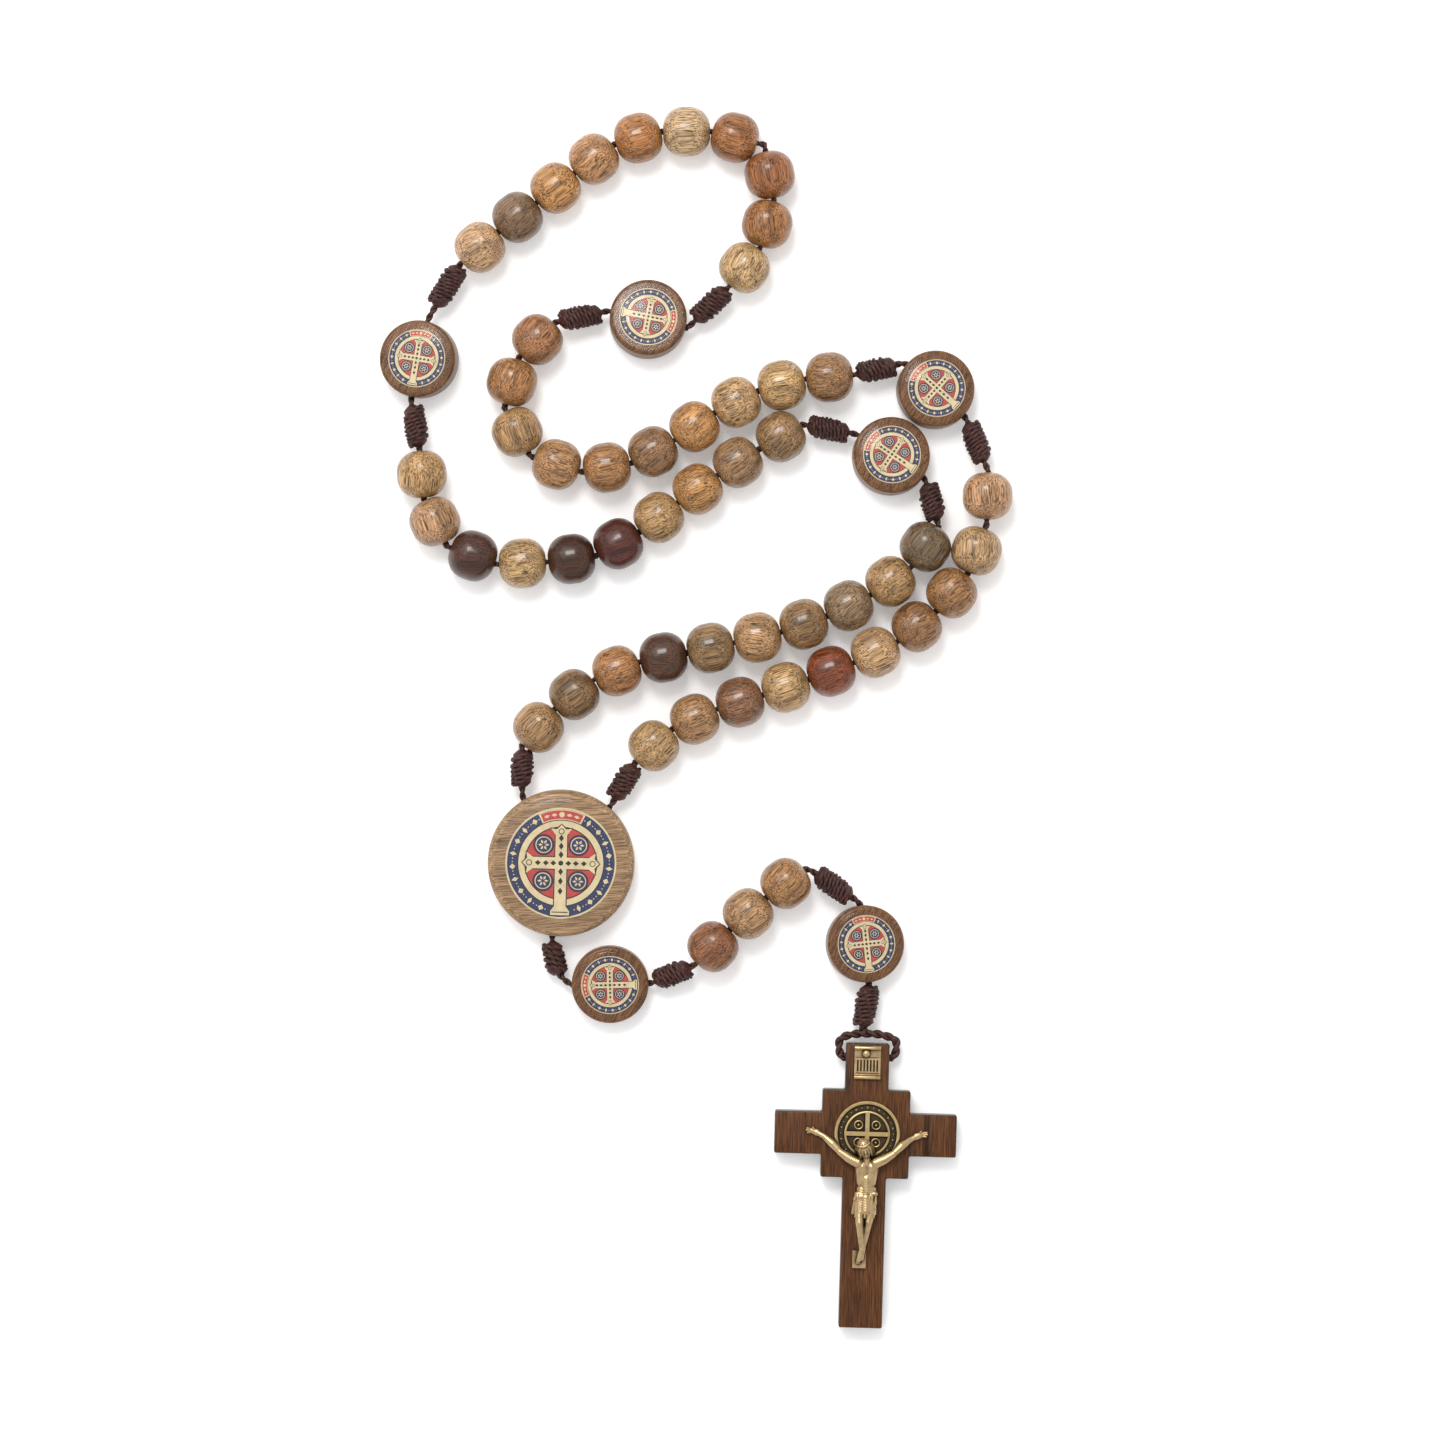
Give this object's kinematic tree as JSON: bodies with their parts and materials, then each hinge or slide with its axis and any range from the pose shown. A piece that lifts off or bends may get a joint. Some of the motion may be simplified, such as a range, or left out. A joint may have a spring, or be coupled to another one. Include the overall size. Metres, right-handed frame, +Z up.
{
  "type": "rosary",
  "caption": "Cord rosary with wooden beads, barrel knots, domed medallions and a stepped wooden crucifix, laid flat in folded curves.",
  "frame": {"origin": "on the table under the middle of the laid-out rosary", "axes": "+Z up from the table, -Y towards the crucifix, +X to the right seen from above"},
  "size_m": [0.1266, 0.2444, 0.01],
  "materials": {
    "bead_wood": "lacquered mixed light and dark hardwood with fine dark pores",
    "disc_wood": "lacquered dark hardwood with greenish-black sides",
    "printed_face": "gold, red and navy print",
    "resin_dome": "clear domed resin",
    "cord": "dark brown twisted waxed cord",
    "cross_wood": "satin walnut-brown wood with dark edges",
    "antique_brass": "antiqued cast brass, dark in the recesses",
    "bronze": "dark antiqued bronze with worn raised lines"
  },
  "bodies": {
    "centre": {"centre_disc": "disc_wood", "centre_face": "printed_face", "centre_dome": "resin_dome", "centre_cord": "cord"},
    "decade_1": {"decade_1_beads": "bead_wood", "decade_1_cord": "cord", "decade_1_knots": "cord"},
    "decade_2": {"decade_2_beads": "bead_wood", "decade_2_cord": "cord", "decade_2_knots": "cord"},
    "decade_3": {"decade_3_beads": "bead_wood", "decade_3_cord": "cord", "decade_3_knots": "cord"},
    "decade_4": {"decade_4_beads": "bead_wood", "decade_4_cord": "cord", "decade_4_knots": "cord", "medal_3_cord": "cord"},
    "decade_5": {"decade_5_beads": "bead_wood", "decade_5_cord": "cord", "decade_5_knots": "cord"},
    "medal_1_cord": {"medal_1_cord": "cord"},
    "medal_2_cord": {"medal_2_cord": "cord"},
    "medal_4_cord": {"medal_4_cord": "cord"},
    "medal_5_cord": {"medal_5_cord": "cord"},
    "medal_6_cord": {"medal_6_cord": "cord"},
    "medal_1": {"medal_1_disc": "disc_wood", "medal_1_face": "printed_face", "medal_1_dome": "resin_dome"},
    "medal_2": {"medal_2_disc": "disc_wood", "medal_2_face": "printed_face", "medal_2_dome": "resin_dome"},
    "medal_3": {"medal_3_disc": "disc_wood", "medal_3_face": "printed_face", "medal_3_dome": "resin_dome"},
    "medal_4": {"medal_4_disc": "disc_wood", "medal_4_face": "printed_face", "medal_4_dome": "resin_dome"},
    "medal_5": {"medal_5_disc": "disc_wood", "medal_5_face": "printed_face", "medal_5_dome": "resin_dome"},
    "medal_6": {"medal_6_disc": "disc_wood", "medal_6_face": "printed_face", "medal_6_dome": "resin_dome"},
    "tail_knot_1": {"tail_knot_1": "cord"},
    "tail_knot_2": {"tail_knot_2": "cord"},
    "tail_knot_3": {"tail_knot_3": "cord"},
    "tail_knot_4": {"tail_knot_4": "cord"},
    "tail_beads_cord": {"tail_beads_cord": "cord"},
    "tail_bead_1": {"tail_bead_1": "bead_wood"},
    "tail_bead_2": {"tail_bead_2": "bead_wood"},
    "tail_bead_3": {"tail_bead_3": "bead_wood"},
    "cross_loop": {"cross_loop": "cord"},
    "crucifix": {"cross": "cross_wood", "cross_medal": "bronze", "corpus": "antique_brass", "title_plate": "antique_brass", "title_nail": "antique_brass"}
  },
  "joints": [
    {"name": "fold_1", "type": "hinge", "parent": "centre", "child": "decade_1", "pos_m": [-0.0346, -0.01591, 0.0032], "axis": [0.9962, -0.0872, 0], "range_deg": [0, 60]},
    {"name": "fold_1_far", "type": "hinge", "parent": "centre", "child": "decade_5", "pos_m": [-0.01686, -0.01747, 0.0032], "axis": [0.9962, -0.0872, 0], "range_deg": [0, 60]},
    {"name": "fold_2", "type": "hinge", "parent": "decade_1", "child": "medal_1_cord", "pos_m": [0.04604, 0.04806, 0.00343], "axis": [0.5515, 0.8342, 0], "range_deg": [0, 26]},
    {"name": "fold_2_far", "type": "hinge", "parent": "decade_5", "child": "medal_4_cord", "pos_m": [0.05416, 0.06035, 0.00343], "axis": [0.5515, 0.8342, 0], "range_deg": [0, 26]},
    {"name": "fold_3", "type": "hinge", "parent": "medal_1_cord", "child": "decade_2", "pos_m": [0.03236, 0.05694, 0.00343], "axis": [0.5601, 0.8284, 0], "range_deg": [0, 24]},
    {"name": "fold_3_far", "type": "hinge", "parent": "medal_4_cord", "child": "decade_4", "pos_m": [0.04204, 0.07125, 0.00343], "axis": [0.5601, 0.8284, 0], "range_deg": [0, 24]},
    {"name": "fold_4", "type": "hinge", "parent": "decade_2", "child": "medal_2_cord", "pos_m": [-0.05689, 0.06393, 0.00366], "axis": [0.9684, 0.2493, 0], "range_deg": [0, 30]},
    {"name": "fold_5", "type": "hinge", "parent": "medal_2_cord", "child": "decade_3", "pos_m": [-0.05351, 0.07987, 0.00366], "axis": [0.9995, -0.032, 0], "range_deg": [0, 35]},
    {"name": "medal_1_spin", "type": "hinge", "parent": "medal_1_cord", "child": "medal_1", "pos_m": [0.0392, 0.0525, 0.00343], "axis": [-0.8387, 0.5446, 0], "continuous": true},
    {"name": "medal_2_spin", "type": "hinge", "parent": "medal_2_cord", "child": "medal_2", "pos_m": [-0.0552, 0.0719, 0.00366], "axis": [0.2079, 0.9781, 0], "continuous": true},
    {"name": "medal_3_spin", "type": "hinge", "parent": "decade_4", "child": "medal_3", "pos_m": [-0.0094, 0.0799, 0.00366], "axis": [-0.9781, 0.2079, 0], "continuous": true},
    {"name": "medal_4_spin", "type": "hinge", "parent": "medal_4_cord", "child": "medal_4", "pos_m": [0.0481, 0.0658, 0.00343], "axis": [0.7431, -0.6691, 0], "continuous": true},
    {"name": "medal_5_spin", "type": "hinge", "parent": "medal_5_cord", "child": "medal_5", "pos_m": [-0.017, -0.0532, 0.00284], "axis": [0.9998, 0.0175, 0], "continuous": true},
    {"name": "medal_6_spin", "type": "hinge", "parent": "medal_6_cord", "child": "medal_6", "pos_m": [0.034, -0.0451, 0.00331], "axis": [0.1045, -0.9945, 0], "continuous": true},
    {"name": "tail_lift_1", "type": "hinge", "parent": "centre", "child": "tail_knot_1", "pos_m": [-0.02865, -0.04394, 0.0032], "axis": [-0.9925, -0.1226, 0], "range_deg": [0, 40]},
    {"name": "tail_swing_1", "type": "hinge", "parent": "tail_knot_1", "child": "medal_5_cord", "pos_m": [-0.02515, -0.05334, 0.00284], "axis": [0, 0, 1], "range_deg": [-105, 0]},
    {"name": "tail_lift_2", "type": "hinge", "parent": "medal_5_cord", "child": "tail_knot_2", "pos_m": [-0.00885, -0.05306, 0.00284], "axis": [0.3946, -0.9189, 0], "range_deg": [0, 30]},
    {"name": "tail_swing_2", "type": "hinge", "parent": "tail_knot_2", "child": "tail_beads_cord", "pos_m": [-0.0001, -0.0493, 0.005], "axis": [0, 0, 1], "range_deg": [-25, 25]},
    {"name": "tail_bead_1_spin", "type": "hinge", "parent": "tail_beads_cord", "child": "tail_bead_1", "pos_m": [0.00358, -0.04562, 0.005], "axis": [0.7071, 0.7071, 0], "continuous": true},
    {"name": "tail_bead_2_spin", "type": "hinge", "parent": "tail_beads_cord", "child": "tail_bead_2", "pos_m": [0.01063, -0.03905, 0.005], "axis": [0.7547, 0.6561, 0], "continuous": true},
    {"name": "tail_bead_3_spin", "type": "hinge", "parent": "tail_beads_cord", "child": "tail_bead_3", "pos_m": [0.01812, -0.03298, 0.005], "axis": [0.7986, 0.6018, 0], "continuous": true},
    {"name": "tail_swing_3", "type": "hinge", "parent": "tail_beads_cord", "child": "tail_knot_3", "pos_m": [0.02227, -0.02985, 0.005], "axis": [0, 0, 1], "range_deg": [0, 65]},
    {"name": "tail_lift_3", "type": "hinge", "parent": "tail_knot_3", "child": "medal_6_cord", "pos_m": [0.03315, -0.03699, 0.00331], "axis": [-0.9945, -0.1045, 0], "range_deg": [0, 40]},
    {"name": "tail_swing_4", "type": "hinge", "parent": "medal_6_cord", "child": "tail_knot_4", "pos_m": [0.03485, -0.05321, 0.00331], "axis": [0, 0, 1], "range_deg": [-32, 32]},
    {"name": "loop_lift", "type": "hinge", "parent": "tail_knot_4", "child": "cross_loop", "pos_m": [0.03369, -0.06198, 0.0027], "axis": [-0.9996, 0.0279, 0], "range_deg": [0, 45]},
    {"name": "crucifix_swing", "type": "hinge", "parent": "cross_loop", "child": "crucifix", "pos_m": [0.03452, -0.06791, 0.0027], "axis": [-0.9996, 0.0279, 0], "range_deg": [0, 15]}
  ],
  "couplings": [
    {"joint": "fold_1_far", "follows": "fold_1", "ratio": 1},
    {"joint": "fold_2_far", "follows": "fold_2", "ratio": 1},
    {"joint": "fold_3_far", "follows": "fold_3", "ratio": 1}
  ]
}
